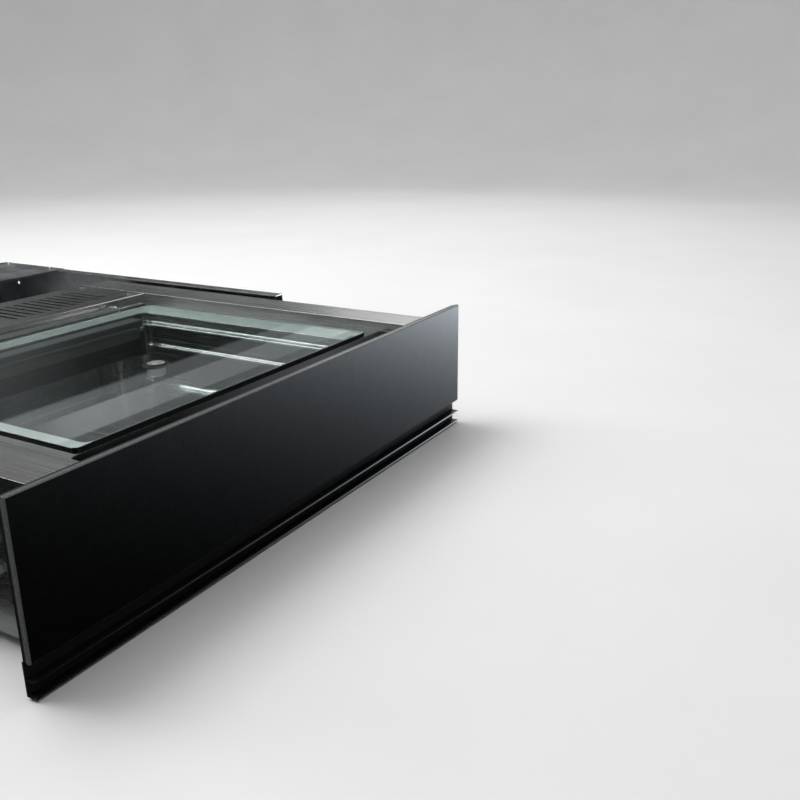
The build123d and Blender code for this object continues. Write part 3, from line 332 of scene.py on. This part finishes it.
USE = {
    "side_cover_left": "steel_y", "side_cover_right": "steel_y", "deck_plate": "steel_x", "rear_cover": "steel_x",
    "chamber_tub": "tub", "front_glass": "pane", "front_carrier": "dark_alu", "front_frame": "zinc", "grip_profile": "dark_band",
    "touch_panel_glass": "black_glass", "touch_panel_frame": "black_plastic", "touch_board": "board", "glass_lid": "glass",
    "lid_port_fitting": "satin_turned", "lid_port_gasket": "silicone", "counter_strip": "silicone", "lid_clamp": "steel_x",
    "hinge_pins": "screw", "hinge_brackets": "steel_x", "chamber_seal": "seal", "suction_fitting": "turned",
    "contact_posts": "plated_brass", "sealing_bar": "dark_alu", "sealing_bar_caps": "black_plastic", "heating_bands": "heater",
    "release_tape": "tape", "housing_base": "zinc", "housing_side_left": "zinc", "housing_side_right": "zinc",
    "housing_back": "zinc", "housing_rear_tie": "zinc", "housing_fasteners": "screw", "mains_socket": "black_plastic",
    "release_body": "white_plastic", "release_plunger": "black_plastic", "chassis_pan": "zinc", "drawer_screws": "screw",
    "pump_motor": "motor_paint", "fan_cowl": "motor_paint", "motor_stator": "laminate", "motor_bearings": "chrome",
    "motor_rotor": "screw", "motor_fan": "black_plastic", "pump_block": "cast", "pump_mounts": "rubber",
    "exhaust_filter": "white_plastic", "vacuum_hose": "rubber", "valve_hose": "rubber", "transformer": "laminate",
    "power_board": "board", "valve_manifold": "cast", "solenoid_valves": "blue_coil",
    "rail_balls_outer": "chrome", "rail_balls_inner": "chrome",
}

# parts of one piece that differ in finish or carry painted shade: (material, test of a face's centre and normal),
# lengths in mm
AXIS = Vector((0, 462.0 - 493.5, 60.0))
ZONES = {
    "front_glass": [("pane_edge", lambda c, n: n.y > -0.9 and n.y < 0.9)],
    # all of the profile but its front noses is near-black: painted shade in the slot
    "grip_profile": [("bright_alu", lambda c, n: c.y < -493.5 + 0.75)],
    # front run of the seal takes the dark silicone: painted shade
    "chamber_seal": [("silicone", lambda c, n: c.y < -493.5 + 72.5 and abs(c.x) < 176)],
    # front edge face of the lid: near-black, as painted shade
    "glass_lid": [("lid_edge", lambda c, n: n.y < -0.8 and c.y < -493.5 + 61.0)],
    # the covers' outer side walls below the top take the darkened steel: painted shade
    "side_cover_left": [("steel_side", lambda c, n: c.x < -259.5 and c.z < 127)],
    "side_cover_right": [("steel_side", lambda c, n: c.x > 259.5 and c.z < 127)],
    "mains_socket": [("brass", lambda c, n: c.y > 244 and abs(c.z - 92) < 4.6 and min(abs(c.x + 207), abs(c.x + 193), abs(c.x + 200)) < 1.2 and c.y < 256.6)],
    "rail_balls_outer": [("rail", lambda c, n: not near_ball(c, OUT_BALLS, 268.6, 19.45))],
    "rail_balls_inner": [("rail", lambda c, n: not near_ball(c, IN_BALLS, 267.2, 13.85))],
    "motor_stator": [("copper", lambda c, n: abs(c.x) > 24.05)],
    "transformer": [
        ("yellow_tape", lambda c, n: c.y < -493.5 + 119.9 or c.y > -493.5 + 190.1),
        ("screw", lambda c, n: c.z < 12.05),
    ],
    "power_board": [
        ("blue_can", lambda c, n: c.z > 19 and c.y < -493.5 + 275),
        ("screw", lambda c, n: c.z > 18.9 and c.x > -214 and -493.5 + 281 < c.y < -493.5 + 343),
        ("black_plastic", lambda c, n: c.z > 18.9 and c.y < -493.5 + 345),
        ("white_plastic", lambda c, n: c.z > 18.9),
        ("screw", lambda c, n: c.z < 17.1),
    ],
    "solenoid_valves": [
        ("screw", lambda c, n: c.z < 41.95 or c.z > 72.05),
        ("black_plastic", lambda c, n: c.x > 231.1),
    ],
    "vacuum_hose": [("screw", lambda c, n: math.hypot(c.x - 110, c.z - 64) > 7.7)],
    "touch_board": [("bright_alu", lambda c, n: c.z > 118.5), ("black_plastic", lambda c, n: c.z < 116.7)],
    "exhaust_filter": [("black_plastic", lambda c, n: 189.9 < c.x < 199.1 and math.hypot(c.y - AXIS.y + 22, c.z - 90) > 17.2)],
}


def ball_rows(y0, length):
    return [y0 + length * (i + 0.5) / 8 for i in range(8)]


OUT_BALLS = ball_rows(-260 + 130 - 53.0, 235)
IN_BALLS = ball_rows(-260 + 142 - 159.0, 225)


def near_ball(c, ys, x, zoff):
    return min(abs(c.y - y) for y in ys) < 2.05 and abs(abs(c.x) - x) < 2.05 and abs(abs(c.z - 60) - zoff) < 2.05 and (
        min((Vector((abs(c.x), c.y, abs(c.z - 60))) - Vector((x, y, zoff))).length for y in ys) < 2.03)


# edges broken by a small radius, in millimetres; sheet parts and mouldings differ
ROUND = {
    "housing_side_left": 0, "housing_side_right": 0, "housing_back": 0, "housing_base": 0, "housing_rear_tie": 0,
    "rail_balls_outer": 0, "rail_balls_inner": 0, "heating_bands": 0.04, "release_tape": 0.04, "glass_lid": 0, "front_glass": 0,
    "touch_panel_glass": 0, "chamber_seal": 0, "grip_profile": 0, "white_plastic": 0.4, "mains_socket": 0.3, "release_body": 0.3,
    "touch_panel_frame": 0.25, "sealing_bar": 0.3, "counter_strip": 0.2, "pump_block": 0.6, "pump_motor": 0.3, "fan_cowl": 0.3,
    "transformer": 0.3, "solenoid_valves": 0.5, "valve_manifold": 0.5, "contact_posts": 0.2, "lid_port_fitting": 0.15,
    "exhaust_filter": 0.3, "motor_fan": 0.3, "pump_mounts": 0.6, "chamber_tub": 0.15, "vacuum_hose": 0.3, "valve_hose": 0.3,
}

for n, o in NODES.items():
    key = USE.get(n, "rail" if n.startswith("rail_") else "zinc")
    me = o.data
    me.materials.clear()
    me.materials.append(M[key])
    rules = ZONES.get(n, [])
    for k, _ in rules:
        me.materials.append(M[k])
    if rules:
        for p in me.polygons:
            c = p.center * 1000.0
            p.material_index = next((i for i, (k, test) in enumerate(rules, 1) if test(c, p.normal)), 0)
    width = ROUND.get(n, 0.2)
    if width:
        w = o.modifiers.new("weld", "WELD")
        w.merge_threshold = 2e-6
        b = o.modifiers.new("edge_break", "BEVEL")
        b.width = width / 1000.0
        b.segments = 2
        b.limit_method = "ANGLE"
        b.angle_limit = math.radians(35)
        b.harden_normals = True
        b.use_clamp_overlap = True


# ---------------------------------------------------------------------------
# studio: pale floor that rises into a pale backdrop, soft lights
# ---------------------------------------------------------------------------
def stage_mesh(name, verts, faces, mat, smooth=True):
    me = bpy.data.meshes.new(name)
    me.from_pydata(verts, [], faces)
    for p in me.polygons:
        p.use_smooth = smooth
    ob = bpy.data.objects.new(name, me)
    me.materials.append(mat)
    bpy.context.scene.collection.objects.link(ob)
    return ob


ft = Tree("pale_floor")
fn = ft.noise(ft.mapped((3, 3, 3)), 1.0, 5.0, 0.6)
ft.to(ft.ramp(fn, [(0.3, (0.60, 0.60, 0.595)), (0.7, (0.63, 0.63, 0.625))]), "Base Color")
ft.set(Roughness=0.8)
ft.p.inputs["Specular IOR Level"].default_value = 0.1

prof = [(0.0, 0.0), (1.0, 0.0), (2.0, 0.0), (3.2, 0.0)]
for i in range(1, 17):
    a = math.radians(90 * i / 16)
    prof.append((3.2 + 2.0 * math.sin(a), 2.0 - 2.0 * math.cos(a)))
prof.append((5.2, 4.5))
SEG = 96
verts = [(0.0, 0.0, -0.0006)]
faces = []
for r, z in prof[1:]:
    verts += [(r * math.cos(2 * math.pi * i / SEG), r * math.sin(2 * math.pi * i / SEG), z - 0.0006) for i in range(SEG)]
for i in range(SEG):
    faces.append((0, 1 + i, 1 + (i + 1) % SEG))
for k in range(len(prof) - 2):
    a, b = 1 + k * SEG, 1 + (k + 1) * SEG
    for i in range(SEG):
        j = (i + 1) % SEG
        faces.append((a + i, b + i, b + j, a + j))
stage_mesh("floor", verts, faces, ft.mat)

world = bpy.data.worlds.new("world")
bpy.context.scene.world = world
world.use_nodes = True
world.node_tree.nodes["Background"].inputs[0].default_value = (0.60, 0.62, 0.65, 1)
world.node_tree.nodes["Background"].inputs[1].default_value = 0.30


def area(name, loc, target, size, power, size_y=None, color=(1, 1, 1)):
    ld = bpy.data.lights.new(name, "AREA")
    ld.energy = power
    ld.color = color
    ld.shape = "RECTANGLE"
    ld.size = size
    ld.size_y = size_y or size
    ob = bpy.data.objects.new(name, ld)
    ob.location = loc
    ob.rotation_mode = "QUATERNION"
    ob.rotation_quaternion = (Vector(target) - Vector(loc)).to_track_quat("-Z", "Y")
    ob.visible_camera = False
    bpy.context.scene.collection.objects.link(ob)
    return ob


def only_mirrored(ob):
    """A card that shows in glossy surfaces and through the glass, and nowhere else."""
    ob.visible_camera = False
    ob.visible_diffuse = False
    ob.visible_volume_scatter = False
    ob.visible_shadow = False


def card(name, verts, build, tint=(0.94, 0.975, 1.0)):
    """A one-sided glowing card; build(tree) gives its brightness."""
    t = Tree(name)
    t.nt.nodes.remove(t.p)
    em = t.node("ShaderNodeEmission")
    em.inputs["Color"].default_value = (*tint, 1.0)
    t.link(build(t), em.inputs["Strength"])
    tr = t.node("ShaderNodeBsdfTransparent")
    ge = t.node("ShaderNodeNewGeometry")
    mx = t.node("ShaderNodeMixShader")
    t.link(ge.outputs["Backfacing"], mx.inputs[0])
    t.link(em.outputs[0], mx.inputs[1])
    t.link(tr.outputs[0], mx.inputs[2])
    t.link(mx.outputs[0], t.out.inputs["Surface"])
    ob = stage_mesh(name, verts, [(0, 1, 2, 3)], t.mat, smooth=False)
    only_mirrored(ob)
    return ob


def tones(t, value, lo, hi, stops):
    """Brightness along one axis, from stops given in metres."""
    n = t.ramp(t.remap(value, lo, hi, 0.0, 1.0), [((at - lo) / (hi - lo), (v,) * 3) for at, v in stops])
    return n


# painted reflection: a card on the floor in front of the pane, seen only in reflections, dark to the left, a soft glow
# to the right
def glow(t):
    x, y, z = t.xyz()
    u = t.math("ADD", x, t.math("MULTIPLY", t.math("ADD", y, 0.4935), 0.08))
    return t.math("ADD", t.math("MULTIPLY", t.math("POWER", t.remap(u, -0.35, 1.1, 0.0, 1.261), 3.2), 3.45), 0.003)


card("front_glow", [(-2.5, -3.2, 0.0004), (3.2, -3.2, 0.0004), (3.2, -0.4938, 0.0004), (-2.5, -0.4938, 0.0004)], glow, (0.845, 0.93, 1.0))


# painted reflection: a glowing card behind, seen only in reflections, with soft strips that the lid and the touch strip
# mirror, one row of tones for each level
ROWS = [
    (0.860, 0.874, [(0.9, 0.12), (1.2, 0.10), (1.5, 0.03), (1.8, 0.012), (2.72, 0.02), (2.85, 0.25), (3.1, 0.25), (5.2, 0.08)]),
    (0.922, 0.926, [(1.0, 0.42), (1.25, 0.39), (1.5, 0.28), (1.9, 0.19), (2.4, 0.16), (2.85, 0.15), (3.0, 0.42), (3.3, 0.30), (5.2, 0.05)]),
    (1.014, 1.020, [(0.9, 0.12), (1.2, 0.30), (1.4, 0.60), (1.55, 0.64), (1.8, 0.50), (2.1, 0.38), (2.6, 0.34), (3.0, 0.34), (3.3, 0.62),
                    (3.6, 0.60), (3.8, 0.30), (5.2, 0.10)]),
    (1.066, 1.086, [(0.9, 0.04), (1.25, 0.08), (1.42, 0.27), (1.6, 0.24), (2.1, 0.16), (2.6, 0.22), (3.35, 0.25), (3.5, 0.65),
                    (3.7, 0.65), (3.9, 0.30), (5.2, 0.10)]),
    (1.150, 1.300, [(0.9, 0.02), (1.2, 0.03), (1.4, 0.004), (1.9, 0.02), (2.55, 0.20), (3.0, 0.27), (3.45, 0.06), (3.66, 0.04), (3.78, 1.0),
                    (4.1, 1.0), (4.4, 0.4), (5.2, 0.10)]),
]


def strips(t):
    x, y, z = t.xyz()
    col = tones(t, x, -2.0, 5.2, ROWS[0][2])
    for (lo, hi, _), (_, _, stops) in zip(ROWS[:-1], ROWS[1:]):
        col = t.mix(t.remap(z, lo, hi, 0.0, 1.0, smooth=True), col, tones(t, x, -2.0, 5.2, stops))
    col = t.mix(t.remap(z, ROWS[-1][0], ROWS[-1][1], 0.0, 1.0, smooth=True), col, (0.03, 0.03, 0.03))
    bw = t.node("ShaderNodeRGBToBW")
    t.link(col, bw.inputs[0])
    return bw.outputs[0]


card("rear_strips", [(-2.0, 1.6, 0.02), (5.2, 1.6, 0.02), (5.2, 1.6, 2.0), (-2.0, 1.6, 2.0)], strips)


# painted reflection: a dim glowing card in front to the right, seen only in reflections, that the chamber mirrors
def dim(t):
    x, y, z = t.xyz()
    return t.math("ADD", t.remap(z, 0.3, 2.4, 0.015, 0.12, smooth=True), t.remap(x, 0.5, 1.3, 0.8, 0.0, smooth=True))


# floor to the left of the drawer: shaded
def shaded(t):
    x, y, z = t.xyz()
    return t.remap(x, -2.6, -0.6, 0.45, 0.02, smooth=True)


card("left_shade", [(-3.0, -0.49, 0.0003), (-0.285, -0.49, 0.0003), (-0.285, 2.4, 0.0003), (-3.0, 2.4, 0.0003)], shaded)
card("front_dim", [(4.2, -2.3, 0.02), (0.4, -2.3, 0.02), (0.4, -2.3, 2.4), (4.2, -2.3, 2.4)], dim)

area("key_top", (-0.3, 0.9, 2.4), (0.0, -0.1, 0.1), 1.8, 50, 1.4)
area("side_right", (2.6, 0.6, 1.6), (0.0, -0.2, 0.1), 1.4, 9, 1.0)
area("rear_left", (-0.62, 1.25, 1.35), (0.1, -0.25, 0.1), 0.7, 9)
fill = area("floor_fill", (0.9, 0.4, 3.6), (0.9, 0.4, 0.0), 4.0, 125)      # for floor and backdrop only
fill.visible_glossy = False
fill.visible_transmission = False

sc = bpy.context.scene
sc.cycles.use_denoising = True
sc.view_settings.view_transform = "Standard"
